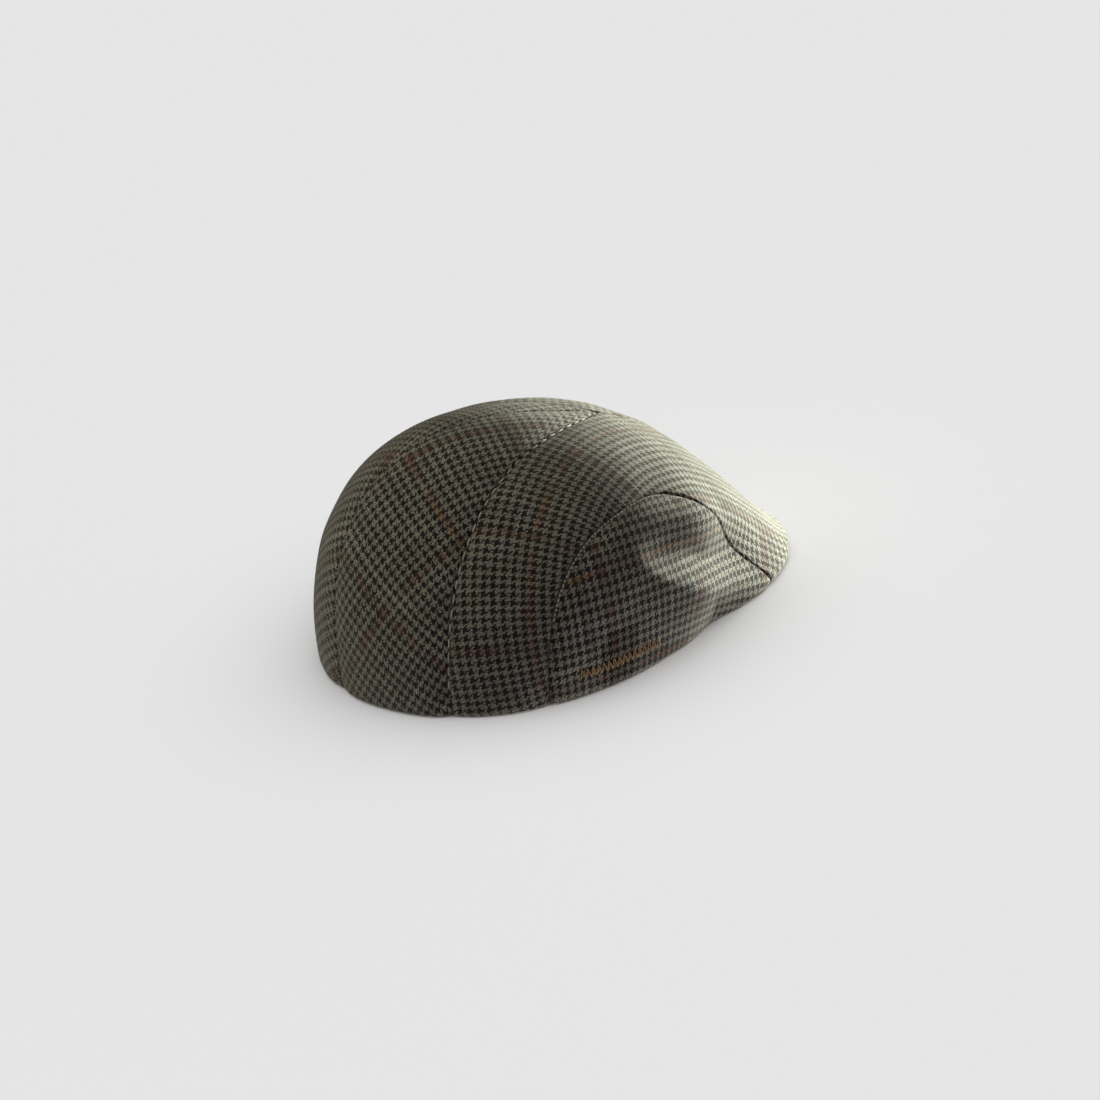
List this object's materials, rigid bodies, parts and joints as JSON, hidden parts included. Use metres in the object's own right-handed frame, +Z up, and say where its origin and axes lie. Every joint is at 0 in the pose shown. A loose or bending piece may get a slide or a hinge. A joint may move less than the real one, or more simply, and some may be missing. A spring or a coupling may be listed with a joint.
{
  "type": "flat cap",
  "caption": "Tweed flat cap with a rounded crown of sewn cloth panels, dented ear-shaped sides and a short stiff peak under the front, open below for a head.",
  "frame": {"origin": "middle of the cap's outline on the floor, at the level of the hem", "axes": "+Z up out of the crown, -Y towards the peak, -X towards the wearer's right side"},
  "size_m": [0.1856, 0.2348, 0.11],
  "materials": {
    "back_tweed": "houndstooth tweed on the bias with rust and ochre overcheck lines",
    "top_tweed": "houndstooth tweed with rust and ochre overcheck lines",
    "side_tweed": "houndstooth tweed turned along the hem",
    "peak_tweed": "houndstooth tweed over a stiff board"
  },
  "bodies": {
    "root": {"back_panel_right": "back_tweed", "back_panel_left": "back_tweed", "top_panel_right": "top_tweed", "top_panel_left": "top_tweed", "side_panel_right": "side_tweed", "side_panel_left": "side_tweed", "peak": "peak_tweed"}
  },
  "joints": []
}
